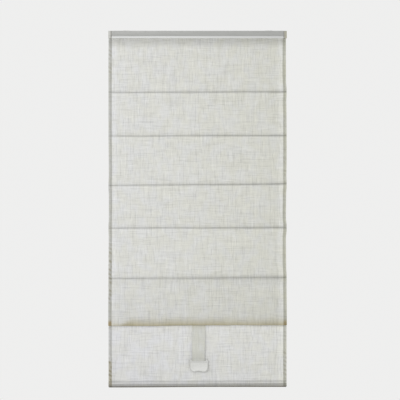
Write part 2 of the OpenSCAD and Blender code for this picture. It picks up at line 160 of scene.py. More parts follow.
def threadRuns(tree, across, along, width, length, low, high):
    # straight threads, each with its own dark and pale stretches
    count = calc(tree, "DIVIDE", across, width)
    thread = calc(tree, "FLOOR", count)
    swell = calc(tree, "SINE", calc(tree, "MULTIPLY", calc(tree, "SUBTRACT", count, thread), math.pi))
    own = addNode(tree, "ShaderNodeCombineXYZ", {
        0: calc(tree, "MULTIPLY", thread, 7.31),  # neighbours lie far apart in the noise
        1: calc(tree, "DIVIDE", along, length),
        2: width * 1000,
    })
    noise = addNode(tree, "ShaderNodeTexNoise", {"Vector": own.outputs[0], "Scale": 1.0, "Detail": 1.0})
    return calc(tree, "MULTIPLY", remap(tree, noise.outputs[0], low, high), swell)


# shared effects
weaveSet = {
    "wander": 0.0008, "ground": 1.055, "gapShade": 0.16, "slubHeight": 0.5,
    # width and length of a slub, noise at which it starts and is full, and its strength
    "warpSlubs": (
        (0.0036, 0.070, 0.52, 0.66, 1.0), (0.0017, 0.045, 0.50, 0.68, 0.75),
        (0.0009, 0.026, 0.46, 0.66, 0.60), (0.0064, 0.070, 0.56, 0.72, -0.55),
    ),
    "weftSlubs": (
        (0.0038, 0.090, 0.52, 0.66, 0.80), (0.0017, 0.065, 0.50, 0.68, 0.65),
        (0.0009, 0.034, 0.46, 0.66, 0.55), (0.0070, 0.090, 0.56, 0.72, -0.45),
    ),
}


def makeLinenWeave():
    tree, ins, outs = newGroup("linenWeave", [
        ("Cut", "NodeSocketVector", None), ("Thread Pitch", "NodeSocketFloat", 0.0011),
        ("Slub Depth", "NodeSocketFloat", 0.2),
    ], ["Shade", "Drift", "Height"])
    # threads wander a little from their line
    wander = addNode(tree, "ShaderNodeTexNoise", {"Vector": ins["Cut"], "Scale": 7.0, "Detail": 1.0})
    middle = addNode(tree, "ShaderNodeVectorMath", {0: wander.outputs["Color"], 1: (0.5, 0.5, 0.5)},
                     operation="SUBTRACT")
    shift = addNode(tree, "ShaderNodeVectorMath", {0: middle.outputs[0], "Scale": weaveSet["wander"]},
                    operation="SCALE")
    moved = addNode(tree, "ShaderNodeVectorMath", {0: ins["Cut"], 1: shift.outputs[0]}, operation="ADD")
    u, v = splitAxes(tree, moved.outputs[0])[:2]
    # plain weave, one thread over and one under
    counts = [calc(tree, "DIVIDE", axis, ins["Thread Pitch"]) for axis in (u, v)]
    warp, weft = (calc(tree, "ABSOLUTE", calc(tree, "SINE", calc(tree, "MULTIPLY", count, math.pi)))
                  for count in counts)
    cells = calc(tree, "ADD", *(calc(tree, "FLOOR", count) for count in counts))
    over = calc(tree, "PINGPONG", cells, 1.0)
    under = calc(tree, "SUBTRACT", 1.0, over)
    thread = calc(tree, "ADD", calc(tree, "MULTIPLY", warp, over), calc(tree, "MULTIPLY", weft, under))
    gap = calc(tree, "MULTIPLY", calc(tree, "SUBTRACT", 1.0, warp), calc(tree, "SUBTRACT", 1.0, weft))
    # slubs: thick dark stretches of single threads and of bundles, and paler ones between them
    slub = 0.0
    for across, along, key in ((u, v, "warpSlubs"), (v, u, "weftSlubs")):
        for width, length, low, high, weight in weaveSet[key]:
            runs = threadRuns(tree, across, along, width, length, low, high)
            slub = calc(tree, "MULTIPLY_ADD", runs, weight, slub)
    shade = calc(tree, "SUBTRACT", weaveSet["ground"], calc(tree, "MULTIPLY", slub, ins["Slub Depth"]))
    holes = calc(tree, "MULTIPLY", gap, weaveSet["gapShade"])
    feed(outs["Shade"], calc(tree, "SUBTRACT", shade, holes))
    drift = streaks(tree, ins["Cut"], (0.045, 0.060, 1.0), 1.0)
    feed(outs["Drift"], remap(tree, drift, 0.35, 0.68))
    feed(outs["Height"], calc(tree, "MULTIPLY_ADD", slub, weaveSet["slubHeight"], thread))


def makeDrawnLines():
    # lines left by drawing or extruding along X
    tree, ins, outs = newGroup("drawnLines", [
        ("Place", "NodeSocketVector", None), ("Depth", "NodeSocketFloat", 0.1),
    ], ["Shade", "Rough", "Height"])
    fine = streaks(tree, ins["Place"], (0.30, 0.0005, 0.0005))
    wide = streaks(tree, ins["Place"], (0.22, 0.0030, 0.0030))
    cloud = streaks(tree, ins["Place"], (0.090, 0.030, 0.012))
    lines = calc(tree, "ADD", calc(tree, "MULTIPLY", fine, 0.6), calc(tree, "MULTIPLY", wide, 0.4))
    uneven = calc(tree, "SUBTRACT", calc(tree, "ADD", lines, cloud), 1.0)
    feed(outs["Shade"], calc(tree, "MULTIPLY_ADD", uneven, ins["Depth"], 1.0))
    feed(outs["Rough"], remap(tree, lines, 0.3, 0.7))
    feed(outs["Height"], lines)


def makeMouldSkin():
    # fine spark-eroded grain and soft flow marks of a moulding
    tree, ins, outs = newGroup("mouldSkin", [
        ("Place", "NodeSocketVector", None), ("Grain", "NodeSocketFloat", 0.0006),
        ("Depth", "NodeSocketFloat", 0.1),
    ], ["Shade", "Rough", "Height"])
    grainScale = calc(tree, "DIVIDE", 1.0, ins["Grain"])
    values = {"Vector": ins["Place"], "Scale": grainScale, "Detail": 2.0}
    grain = addNode(tree, "ShaderNodeTexNoise", values).outputs[0]
    flow = streaks(tree, ins["Place"], (0.020, 0.012, 0.009))
    uneven = calc(tree, "SUBTRACT", calc(tree, "MULTIPLY_ADD", grain, 0.5, flow), 0.75)
    feed(outs["Shade"], calc(tree, "MULTIPLY_ADD", uneven, ins["Depth"], 1.0))
    feed(outs["Rough"], remap(tree, flow, 0.3, 0.7))
    feed(outs["Height"], grain)


def makeEdgeWear():
    # rubbed edges and dust that lies on what faces up
    tree, ins, outs = newGroup("edgeWear", [("Place", "NodeSocketVector", None)], ["Rubbed", "Dust"])
    surface = addNode(tree, "ShaderNodeNewGeometry").outputs
    patch = streaks(tree, ins["Place"], (0.012, 0.012, 0.012))
    edge = remap(tree, surface["Pointiness"], 0.53, 0.62)
    feed(outs["Rubbed"], calc(tree, "MULTIPLY", edge, remap(tree, patch, 0.35, 0.65)))
    facing = remap(tree, splitAxes(tree, surface["Normal"])[2], 0.45, 1.0)
    feed(outs["Dust"], calc(tree, "MULTIPLY", facing, remap(tree, patch, 0.25, 0.75)))


makeLinenWeave()
makeDrawnLines()
makeMouldSkin()
makeEdgeWear()
print("shared effects:", ", ".join(sorted(g.name for g in bpy.data.node_groups)))


# finishes
hardKinds = {
    "metal": {
        "marks": "drawnLines", "shine": 0.5, "rub": 0.5, "dust": (0.62, 0.61, 0.57, 1), "bumpDepth": 0.0001},
    "plastic": {
        "marks": "mouldSkin", "shine": 0.45, "rub": 0.6, "dust": (0.60, 0.59, 0.55, 1), "bumpDepth": 0.0002},
}


def newFinish(name, constants):
    finish = bpy.data.materials.new(name)
    finish.use_nodes = True
    skin = finish.node_tree.nodes["Principled BSDF"]
    for key, value in constants.items():
        skin.inputs[key].default_value = value
    return finish, finish.node_tree, skin.inputs


def addBump(tree, skin, height, strength, depth):
    values = {"Height": height, "Strength": strength, "Distance": depth}
    feed(skin["Normal"], addNode(tree, "ShaderNodeBump", values).outputs[0])


def place(tree):
    return addNode(tree, "ShaderNodeTexCoord").outputs["Object"]


def linenFinish(name, look):
    finish, tree, skin = newFinish(name, {
        "Specular IOR Level": 0.25, "Sheen Weight": 0.06, "Sheen Roughness": 0.6})
    cut = addNode(tree, "ShaderNodeUVMap", uv_map="cut").outputs[0]
    weave = useGroup(tree, "linenWeave", {
        "Cut": cut, "Thread Pitch": look["pitch"], "Slub Depth": look["slub"]})
    ground = mixColour(tree, weave["Drift"], look["olive"], look["lilac"])
    woven = mixColour(tree, 1.0, ground, weave["Shade"], "MULTIPLY")
    # painted light and shade, kept per point of the mesh
    layers = addNode(tree, "ShaderNodeAttribute", attribute_name="paintedLightTint").outputs
    colour = mixColour(tree, 1.0, woven, layers["Color"], "MULTIPLY")
    # the doubled edge shows broken dark marks where its two weaves cross
    u, v = splitAxes(tree, cut)[:2]
    slant = calc(tree, "MULTIPLY_ADD", u, look["markSlant"], v)
    marks = calc(tree, "POWER", threadRuns(tree, slant, u, *look["markRuns"]), 2.0)
    dash = calc(tree, "MULTIPLY", marks, calc(tree, "SUBTRACT", 1.0, layers["Alpha"]))
    feed(skin["Base Color"], mixColour(tree, dash, colour, look["markColour"]))
    feed(skin["Roughness"], remap(tree, weave["Height"], 0.0, 1.3, 0.95, 0.80))
    addBump(tree, skin, weave["Height"], look["bump"], 0.0004)
    return finish


def cordFinish():
    look = {"colour": (0.74, 0.73, 0.69, 1), "shadow": (0.50, 0.49, 0.45, 1)}
    finish, tree, skin = newFinish("liftCordBraid", {"Specular IOR Level": 0.3, "Sheen Weight": 0.1})
    where = place(tree)
    fibre = streaks(tree, where, (0.0004, 0.0004, 0.0030))
    soil = remap(tree, streaks(tree, where, (0.03, 0.03, 0.12)), 0.45, 0.85, 0.0, 0.35)
    colour = mixColour(tree, remap(tree, fibre, 0.35, 0.65), look["shadow"], look["colour"])
    feed(skin["Base Color"], mixColour(tree, soil, colour, look["shadow"]))
    feed(skin["Roughness"], remap(tree, fibre, 0.2, 0.8, 0.9, 0.7))
    addBump(tree, skin, fibre, 0.5, 0.0002)
    return finish


def hardFinish(kindName, name, look, detail=None):
    kind = hardKinds[kindName]
    finish, tree, skin = newFinish(name, {
        "Metallic": look.get("metallic", 0.0), "Coat Weight": look.get("coat", 0.0),
        "Specular IOR Level": kind["shine"]})
    where = place(tree)
    values = {"Place": where, "Depth": look["depth"]}
    if "grain" in look:
        values["Grain"] = look["grain"]
    marks = useGroup(tree, kind["marks"], values)
    colour = mixColour(tree, 1.0, look["colour"], marks["Shade"], "MULTIPLY")
    if detail:
        colour = detail(tree, where, look, colour)
    # rubbed edges, with dust over them
    wear = useGroup(tree, "edgeWear", {"Place": where})
    rubbed = mixColour(tree, calc(tree, "MULTIPLY", wear["Rubbed"], kind["rub"]), colour, look["rubbed"])
    dust = calc(tree, "MULTIPLY", wear["Dust"], look["dust"])
    feed(skin["Base Color"], mixColour(tree, dust, rubbed, kind["dust"]))
    feed(skin["Roughness"], remap(tree, marks["Rough"], 0.0, 1.0, *look["rough"]))
    addBump(tree, skin, marks["Height"], look["bump"], kind["bumpDepth"])
    return finish


def railTrim(tree, where, look, colour):
    # painted highlight: the trim along the lower edge is pale and painted brighter still at its rounded foot;
    # painted shade darkens the rail face just above the trim
    y, z = splitAxes(tree, where)[1:]
    top, face = look["trimTop"], look["faceY"]
    shadeAboveTrim = remap(tree, z, top + 0.0075, top + 0.0005, 1.0, 0.90)
    colour = mixColour(tree, 1.0, colour, shadeAboveTrim, "MULTIPLY")
    foot = remap(tree, z, top - 0.0096, top - 0.0106)
    trim = mixColour(tree, foot, look["trim"], look["trimFoot"])
    low = remap(tree, z, top, top - 0.0006)
    front = remap(tree, y, face + 0.0010, face + 0.0004)
    return mixColour(tree, calc(tree, "MULTIPLY", low, front), colour, trim)


def capJoint(tree, where, look, colour):
    # soft shadow and dust where the cap meets the rail
    x = splitAxes(tree, where)[0]
    # painted shade: the right cap is darker and warmer than the left
    colour = mixColour(tree, calc(tree, "GREATER_THAN", x, 0.0), colour, look["rightColour"])
    inner = remap(tree, calc(tree, "ABSOLUTE", x), look["jointX"] + 0.0085, look["jointX"] + 0.001)
    return mixColour(tree, inner, colour, look["joint"])


def gripRim(tree, where, look, colour):
    # painted shade: the raised rim and the sides are painted darker than the thin web between them
    y = splitAxes(tree, where)[1]
    rimY = look["rimY"]
    behindRim = remap(tree, y, rimY, rimY + 0.0005)
    beforeSide = remap(tree, y, rimY + 0.0012, rimY + 0.0007)
    return mixColour(tree, calc(tree, "MULTIPLY", behindRim, beforeSide), look["rim"], colour)


railLow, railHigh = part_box("headrail")
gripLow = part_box("pull_handle")[0]
clothLook = {
    "pitch": 0.0011, "slub": 0.13, "bump": 0.35,
    "olive": (0.676, 0.676, 0.622, 1), "lilac": (0.682, 0.686, 0.662, 1),
    "markColour": (0.27, 0.25, 0.18, 1), "markSlant": 0.5, "markRuns": (0.0190, 0.012, 0.38, 0.50),
}
sheetLinen = linenFinish("sheetLinen", clothLook)
strapLinen = linenFinish("strapLinen", dict(clothLook, pitch=0.0009, slub=0.08))
tapeCloth = linenFinish("pocketTape", dict(
    clothLook, pitch=0.0007, slub=0.04,
    olive=(0.76, 0.76, 0.73, 1), lilac=(0.80, 0.80, 0.78, 1)))
cordBraid = cordFinish()
stitchThread = hardFinish("plastic", "stitchThread", {
    "colour": (0.60, 0.60, 0.55, 1), "rubbed": (0.68, 0.68, 0.64, 1), "grain": 0.0003, "depth": 0.25,
    "rough": (0.6, 0.85), "bump": 0.3, "dust": 0.0})
# part painted shade: the rail face's grey is set to how the rail looks in shade
railMetal = hardFinish("metal", "railAluminium", {
    "metallic": 0.25, "colour": (0.382, 0.386, 0.372, 1), "rubbed": (0.50, 0.50, 0.49, 1), "depth": 0.16,
    "trim": (0.545, 0.552, 0.545, 1), "trimFoot": (0.88, 0.89, 0.87, 1),
    "trimTop": railLow.z + 0.0116, "faceY": railLow.y + 0.0040,
    "rough": (0.42, 0.58), "bump": 0.12, "dust": 0.25}, railTrim)
barMetal = hardFinish("metal", "barAluminium", {
    "metallic": 0.9, "colour": (0.55, 0.55, 0.55, 1), "rubbed": (0.70, 0.70, 0.69, 1), "depth": 0.2,
    "rough": (0.35, 0.55), "bump": 0.12, "dust": 0.1})
shaftMetal = hardFinish("metal", "shaftSteel", {
    "metallic": 1.0, "colour": (0.50, 0.50, 0.51, 1), "rubbed": (0.66, 0.66, 0.66, 1), "depth": 0.25,
    "rough": (0.28, 0.45), "bump": 0.12, "dust": 0.1})
springMetal = hardFinish("metal", "springSteel", {
    "metallic": 1.0, "colour": (0.30, 0.32, 0.36, 1), "rubbed": (0.5, 0.5, 0.52, 1), "depth": 0.3,
    "rough": (0.25, 0.4), "bump": 0.12, "dust": 0.05})
bracketPaint = hardFinish("metal", "bracketPaint", {
    "metallic": 0.0, "colour": (0.66, 0.66, 0.63, 1), "rubbed": (0.42, 0.42, 0.42, 1), "depth": 0.06,
    "rough": (0.45, 0.6), "bump": 0.12, "dust": 0.3})
capPlastic = hardFinish("plastic", "capPlastic", {
    "colour": (0.53, 0.53, 0.50, 1), "rubbed": (0.60, 0.60, 0.57, 1), "grain": 0.0005, "depth": 0.22,
    "joint": (0.30, 0.295, 0.27, 1), "jointX": railHigh.x, "rightColour": (0.40, 0.385, 0.305, 1),
    "rough": (0.42, 0.6), "bump": 0.15, "dust": 0.3}, capJoint)
whitePlastic = hardFinish("plastic", "whitePlastic", {
    "colour": (0.72, 0.72, 0.69, 1), "rubbed": (0.80, 0.80, 0.78, 1), "grain": 0.0005, "depth": 0.12,
    "rough": (0.35, 0.5), "bump": 0.12, "dust": 0.3})
darkPlastic = hardFinish("plastic", "darkPlastic", {
    "colour": (0.055, 0.060, 0.066, 1), "rubbed": (0.16, 0.16, 0.17, 1), "grain": 0.0005, "depth": 0.3,
    "rough": (0.3, 0.5), "bump": 0.12, "dust": 0.2})
rodGlass = hardFinish("plastic", "rodGlassFibre", {
    "colour": (0.68, 0.68, 0.63, 1), "rubbed": (0.76, 0.76, 0.72, 1), "grain": 0.0004, "depth": 0.2,
    "rough": (0.35, 0.55), "bump": 0.2, "dust": 0.1})
gripPlastic = hardFinish("plastic", "gripPlastic", {
    "colour": (0.655, 0.66, 0.635, 1), "rubbed": (0.62, 0.625, 0.61, 1), "grain": 0.0007, "depth": 0.10,
    "rim": (0.545, 0.55, 0.525, 1), "rimY": gripLow.y + 0.0003,
    "rough": (0.25, 0.38), "bump": 0.06, "dust": 0.1, "coat": 0.15}, gripRim)
print("finishes:", len(bpy.data.materials))


# mesh helpers

def middleOf(node):
    return [(low + high) / 2 for low, high in zip(*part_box(node))]


def placePiece(name, mesh, finish, body, sharpAngle):
    mesh.polygons.foreach_set("use_smooth", [True] * len(mesh.polygons))
    mesh.set_sharp_from_angle(angle=math.radians(sharpAngle))
    mesh.materials.append(finish)
    piece = bpy.data.objects.new(name, mesh)
    scene.collection.objects.link(piece)
    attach(piece, body)
    return piece


def addPiece(name, verts, faces, finish, body, sharpAngle=40.0):
    mesh = bpy.data.meshes.new(name)
    mesh.from_pydata([tuple(v) for v in verts], [], [tuple(f) for f in faces])
    mesh.update()
    return placePiece(name, mesh, finish, body, sharpAngle)


def unit(vectors):
    return vectors / np.linalg.norm(vectors, axis=-1, keepdims=True)


def arcLength(points):
    return np.concatenate([[0.0], np.cumsum(np.linalg.norm(np.diff(points, axis=0), axis=1))])


def arcPoints(centre, radius, fromDeg, toDeg, count):
    angles = np.radians(np.linspace(fromDeg, toDeg, count + 1))
    return [(centre[0] + radius * math.cos(a), centre[1] + radius * math.sin(a)) for a in angles]


def smoothShare(value, low, high):
    share = np.clip((value - low) / (high - low), 0.0, 1.0)
    return share * share * (3 - 2 * share)


def fadeOut(value, full, none):
    return 1 - smoothShare(value, full, none)


def softWaves(x, z, waves):
    total = np.zeros_like(x)
    for kx, kz, turn, size in waves:
        total += size * np.sin(kx * x + kz * z + turn)
    return total


def gridFaces(rows, columns, start=0, flip=False):
    index = start + np.arange(rows * columns).reshape(rows, columns)
    quads = np.stack([index[:-1, :-1], index[1:, :-1], index[1:, 1:], index[:-1, 1:]], axis=-1).reshape(-1, 4)
    return quads[:, ::-1] if flip else quads


def tubeFaces(rings, sides):
    faces = []
    for ring in range(rings - 1):
        for k in range(sides):
            a, b = ring * sides + k, ring * sides + (k + 1) % sides
            faces.append([a, b, b + sides, a + sides])
    return faces + [list(range(sides))[::-1], list(range((rings - 1) * sides, rings * sides))]


def behindPath(rows):
    # direction from the front of the cloth to its back, at each row
    step = unit(np.gradient(rows, axis=0))
    return np.stack([-step[:, 1], step[:, 0]], axis=1)


def clothSlab(rows, columns, thick, bend=None, cutFrom=0.0):
    # a closed thin slab: rows are (y, z) down the cloth, columns are x
    rows = np.array(rows)
    n, m = len(rows), len(columns)
    centre = np.zeros((n, m, 3))
    centre[..., 0] = columns
    centre[..., 1:] = rows[:, None, :]
    if bend:
        centre += bend(centre)
    back = np.zeros((n, m, 3))
    back[..., 1:] = behindPath(rows)[:, None, :]
    front, rear = centre - back * thick / 2, centre + back * thick / 2
    f = np.arange(n * m).reshape(n, m)
    b = f + n * m
    rims = [
        np.stack([f[:-1, 0], b[:-1, 0], b[1:, 0], f[1:, 0]], axis=-1),
        np.stack([f[:-1, -1], f[1:, -1], b[1:, -1], b[:-1, -1]], axis=-1),
        np.stack([f[0, :-1], f[0, 1:], b[0, 1:], b[0, :-1]], axis=-1),
        np.stack([f[-1, :-1], b[-1, :-1], b[-1, 1:], f[-1, 1:]], axis=-1),
    ]
    arc = arcLength(rows)
    cut = np.stack(np.broadcast_arrays(columns, -cutFrom - arc[:, None]), axis=-1).reshape(-1, 2)
    return {
        "verts": np.concatenate([front.reshape(-1, 3), rear.reshape(-1, 3)]),
        "faces": np.concatenate([gridFaces(n, m), gridFaces(n, m, n * m, True), *rims]),
        "cut": np.concatenate([cut, cut]), "tint": np.ones((2 * n * m, 4)),
        "front": front, "rear": rear, "length": float(arc[-1]),
    }


def joinSlabs(slabs):
    starts = np.cumsum([0] + [len(slab["verts"]) for slab in slabs])
    joined = {key: np.concatenate([slab[key] for slab in slabs]) for key in ("verts", "cut", "tint")}
    joined["faces"] = np.concatenate([slab["faces"] + start for slab, start in zip(slabs, starts)])
    return joined


def addCloth(name, slab, finish, body):
    piece = addPiece(name, slab["verts"], slab["faces"], finish, body, 60.0)
    mesh = piece.data
    corner = np.empty(len(mesh.loops), dtype=np.int32)
    mesh.loops.foreach_get("vertex_index", corner)
    mesh.uv_layers.new(name="cut").data.foreach_set("uv", slab["cut"][corner].astype(np.float32).ravel())
    layer = mesh.color_attributes.new(name="paintedLightTint", type="FLOAT_COLOR", domain="POINT")
    layer.data.foreach_set("color", slab["tint"].astype(np.float32).ravel())
    return piece


def tinted(tint, share, colour):
    return tint * (1 + share[..., None] * (np.array(colour) - 1))


def setTint(slab, tint, clear=1.0):
    # painted light and shade of each point, most of it the shade of the layers behind it, and in alpha how
    # clear the cloth is of dark marks
    rgba = np.concatenate([tint, np.broadcast_to(clear, tint.shape[:2])[..., None]], axis=-1)
    slab["tint"] = np.concatenate([rgba.reshape(-1, 4)] * 2)
    return slab


# stitching
stitchLook = {"stitch": 0.0034, "gap": 0.0016, "thread": 0.0006, "sides": 5, "hemInset": 0.003}
roomward = (0, -1, 0)


def sampleLine(values, arc, at):
    return np.stack([np.interp(at, arc, values[:, k]) for k in range(3)], axis=-1)


def stitchRun(line, out=roomward):
    # start, end and outward direction of each stitch along a line on the cloth
    long, gap = stitchLook["stitch"], stitchLook["gap"]
    arc = arcLength(line)
    begin = np.arange(gap, arc[-1] - long - gap, long + gap)
    out = np.broadcast_to(np.array(out, dtype=float), line.shape)
    facing = unit(sampleLine(out, arc, begin + long / 2))
    return sampleLine(line, arc, begin), sampleLine(line, arc, begin + long), facing


def addStitches(name, runs, body):
    # each stitch is a short thread that dips into the cloth at both ends
    start, end, out = (np.concatenate(parts) for parts in zip(*runs))
    side = np.cross(unit(end - start), out)
    radius, sides = stitchLook["thread"] / 2, stitchLook["sides"]
    rings = []
    for share, lift, size in ((0.0, -0.6, 0.7), (0.2, 0.5, 1.0), (0.8, 0.5, 1.0), (1.0, -0.6, 0.7)):
        middle = start + (end - start) * share + out * radius * lift
        for a in np.linspace(0, 2 * math.pi, sides, endpoint=False):
            rings.append(middle + radius * size * (math.cos(a) * out + math.sin(a) * side))
    verts = np.stack(rings, axis=1).reshape(-1, 3)
    one = tubeFaces(4, sides)
    faces = [[v + base for v in face] for base in range(0, len(verts), len(rings)) for face in one]
    piece = addPiece(name, verts, faces, stitchThread, body)
    return piece


# the sheet: one cloth from the rail's groove to the bottom bar, with a loose fold over the lowest rib
ribZ = [middleOf(f"rib_rod_{i}")[2] for i in range(1, 7)]
sheetLow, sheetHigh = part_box("fabric_sheet")
sheetSet = {
    "half": float(sheetHigh.x), "bottom": float(sheetLow.z), "hem": 0.015, "thick": 0.0008,
    "hangY": -0.008, "topZ": -0.031, "panelRows": 30, "dropRows": 34, "columns": 90,
    "crease": 0.0004, "hemColumns": (0.006, 0.012),  # columns of points at and past a hem's inner edge
    # bow of the panels, how they billow, and how deep, where and how often each side edge draws in
    "bow": 0.007, "bowPower": 0.4, "billow": 0.0007, "lowerBillow": 0.00084, "lowerHold": (0.012, 0.04),
    "sidePull": ((0.0009, -0.755, 0.99), (0.0016, -0.11, 0.785)),
    "pullFrom": 0.20, "pullFree": (0.009, 0.045),
    # loose fold
    "foldReach": 0.015, "foldDrop": 0.0205, "foldRise": 0.0022, "foldRadius": 0.0045, "foldWave": 0.0012,
    "hairpin": 0.0018,
    # how much each seam climbs to the right, how far it is sewn below its rod, and how wide it looks
    "seamRise": (0.0011, 0.0007, 0.0036, 0.0010, 0.0022, 0.0),
    "seamDrop": (0.0, 0.0022, 0.0, 0.0, 0.0032, 0.0),
    "seamWide": (1.0, 1.0, 1.0, 1.0, 1.8), "seamWave": 0.0009,
    # bottom hem round the bar, heights above the bottom edge
    "hemHigh": 0.030, "hemClose": 0.0203, "barHigh": 0.0139, "barLow": 0.0033, "wrap": 0.0029,
    "hemSlack": 0.0024, "slackSpan": (-0.10, 0.36), "cornerRadius": 0.0042, "cornerSpan": (0.0, 0.010),
    "hemClimb": 0.0022,
    # painted shade where the layers hold back light: side hems and the turned-in part of them; painted light
    # on the paler strip beside them, and a painted light that falls off and turns warmer to the right
    "hemTint": (0.84, 0.84, 0.80), "hemCore": 0.79, "hemTurn": 0.008,
    "edgeGlow": (1.035, 1.035, 1.05), "rightGlow": 0.07, "glowFrom": 0.028, "glowFull": 0.016,
    "sideLightFalloff": 0.036, "warmLightRight": 0.024,
    # side, height of the middle, half length and strength of each marked stretch of hem
    "markSpans": ((-1, -1.09, 0.17, 0.66), (-1, -1.54, 0.085, 1.0), (-1, -0.14, 0.08, 0.4),
                  (1, -1.50, 0.09, 0.5), (1, -0.60, 0.12, 0.3)),
    "markFloor": 0.12, "markShade": (0.13, 0.17, 0.28), "darkStretchFrom": 0.6,
    # painted shade along the seams, with a painted highlight under each; a span holds the two distances
    # between which a shade comes or goes
    "seamTint": 0.843, "tuckMore": 0.065, "tuckEnd": 0.05, "tuckEndSpan": (0.30, 0.37),
    "seamHide": 0.6, "seamHideRight": 0.4, "lineSpan": (0.0016, 0.0056), "lineMore": 0.0022,
    "aboveShade": 0.05, "aboveSpan": (0.002, 0.021),
    "underGlow": 0.02, "underRise": (0.004, 0.008), "underSpan": (0.010, 0.022),
    # under the rail, a pale line and then its shadow
    "headTint": 0.80, "headLight": 0.9, "headRise": (0.003, 0.013), "headSpan": (0.018, 0.050),
    # painted shade of the loose panel and fold
    "looseTint": 0.965, "looseRise": (0.0, 0.06), "sagShade": 0.045, "sagFrom": 0.07,
    "sagTop": 0.9, "sagTopSpan": (0.014, 0.046),
    "foldLine": (0.94, 0.90, 0.79), "foldLineSpan": (0.003, 0.009),
    "foldTint": (0.735, 0.695, 0.575), "foldSpan": (0.003, 0.046), "foldEnd": (-0.358, -0.330),
    "foldFaint": 0.2, "foldSlope": 1.4, "foldSides": (1.06, 0.80), "foldUneven": 0.12,
    "foldHemTint": (0.78, 0.64, 0.42), "spotUp": 0.008, "spotSpan": (0.006, 0.022), "spotRight": 0.2,
    # painted light and shade of the lower panel, its hem and the bar
    "lowerTint": (1.035, 1.035, 1.072), "underFold": 0.07, "underFoldSpan": (0.004, 0.034),
    "lowerFade": 0.055, "lowerFadeSpan": (0.020, 0.230), "lowerLift": 0.7, "lowerStrip": -0.4,
    "hemLayerTint": 0.87, "hemSeamTint": 0.67, "hemSeamDown": 0.0050, "hemSeamSpan": (0.0015, 0.0045),
    "hemSeamFaint": 0.6,
    "barTint": (0.63, 0.625, 0.615), "barSpan": (-0.0003, 0.0032),
    "barFootTint": (0.43, 0.41, 0.36), "barFootSpan": (0.003, 0.008),
}
panelWaves = (
    (9.0, 4.0, 0.4, 0.5), (17.0, -7.0, 2.1, 0.35), (31.0, 11.0, 4.0, 0.25), (52.0, -15.0, 1.2, 0.15),
)
foldWaves = ((11.0, 0.0, 1.0, 0.5), (23.0, 0.0, 3.2, 0.35), (41.0, 0.0, 0.5, 0.25))
hemTop = sheetSet["bottom"] + sheetSet["hemHigh"]
hemInner = sheetSet["half"] - sheetSet["hem"]


def sheetColumns():
    crease, hem = sheetSet["crease"], sheetSet["hem"]
    middle = np.linspace(-hemInner + crease, hemInner - crease, sheetSet["columns"])
    edge = hemInner + np.array([crease, *sheetSet["hemColumns"], hem - 0.001, hem])
    return np.concatenate([-edge[::-1], middle, edge])


def upperRows():
    hang, count = sheetSet["hangY"], sheetSet["panelRows"]
    rows = []
    share = (1 - np.cos(np.linspace(0, np.pi, count, endpoint=False))) / 2
    bow = sheetSet["bow"] * np.sin(np.pi * share) ** sheetSet["bowPower"]
    for z0, z1 in zip([sheetSet["topZ"], *ribZ[:4]], ribZ[:5]):
        rows += list(zip(hang - bow, z0 + (z1 - z0) * share))
    radius, reach = sheetSet["foldRadius"], sheetSet["foldReach"]
    foldZ = ribZ[5] - sheetSet["foldDrop"] + radius + sheetSet["thick"] / 2
    for share in np.linspace(0, 1, count, endpoint=False) ** 1.6:
        rows.append((hang - reach * share ** sheetSet["bowPower"], ribZ[4] + (foldZ - ribZ[4]) * share))
    rows += arcPoints((hang - reach + radius, foldZ), radius, 180, 360, 14)
    rows += arcPoints((hang - sheetSet["hairpin"], ribZ[5]), sheetSet["hairpin"], 180, 0, 12)
    return rows


def lowerRows():
    hang, wrap = sheetSet["hangY"], sheetSet["wrap"]
    high, low, close = (sheetSet["bottom"] + sheetSet[key] for key in ("barHigh", "barLow", "hemClose"))
    back = hang + sheetSet["thick"] + 0.0001
    rows = [(hang, z) for z in np.linspace(ribZ[5], hemTop + 0.001, sheetSet["dropRows"])]
    rows += [(hang, z) for z in np.linspace(hemTop - 0.001, close + 0.003, 6)]
    swell = [(smoothShare(share, 0, 1), close + (high - close) * share) for share in np.linspace(0, 1, 7)]
    rows += [(hang - wrap * s, z) for s, z in swell]
    rows += [(hang - wrap, z) for z in np.linspace(high, low, 6)[1:-1]]
    rows += arcPoints((hang, low), wrap, 180, 360, 12)
    rows += [(hang + wrap, z) for z in np.linspace(low, high, 6)[1:-1]]
    rows += [(back + (hang + wrap - back) * s, z) for s, z in reversed(swell)]
    return rows + [(back, close + 0.003), (back, hemTop)]


def seamShift(x, z):
    known = [sheetSet["bottom"], *reversed(ribZ), sheetSet["topZ"]]
    rise, drop = ([0.0, *reversed(sheetSet[key]), 0.0] for key in ("seamRise", "seamDrop"))
    held = np.interp(z, known, [0.0] * 2 + [1.0] * 5 + [0.0])
    wander = sheetSet["seamWave"] * held * softWaves(x, 40 * z, panelWaves)
    return np.interp(z, known, rise) * x / sheetSet["half"] - np.interp(z, known, drop) + wander


def sidePull(x, z):
    # the side edges draw in a little between the ribs, in some panels more than in others
    move = np.zeros_like(x)
    free = np.min([smoothShare(np.abs(z - rib), *sheetSet["pullFree"]) for rib in ribZ], axis=0)
    for side, (depth, deepest, length) in zip((-1, 1), sheetSet["sidePull"]):
        share = smoothShare(side * x, sheetSet["pullFrom"], hemInner)
        move -= side * share * free * depth * (1 + np.cos(2 * np.pi * (z - deepest) / length))
    return move


def bendUpper(centre):
    x, y, z = centre[..., 0], centre[..., 1], centre[..., 2]
    move = np.zeros_like(centre)
    proud = np.clip((sheetSet["hangY"] - y) / sheetSet["bow"], 0.0, 1.0)
    move[..., 0] = sidePull(x, z)
    move[..., 1] = sheetSet["billow"] * proud * softWaves(x, z, panelWaves)
    move[..., 2] = seamShift(x, z)
    loose = np.clip((ribZ[4] - z) / (ribZ[4] - ribZ[5]), 0.0, 1.0) ** 2
    climb = sheetSet["foldRise"] * x / sheetSet["half"]
    move[..., 2] += loose * proud * (climb + sheetSet["foldWave"] * softWaves(x, 0.0, foldWaves))
    return move


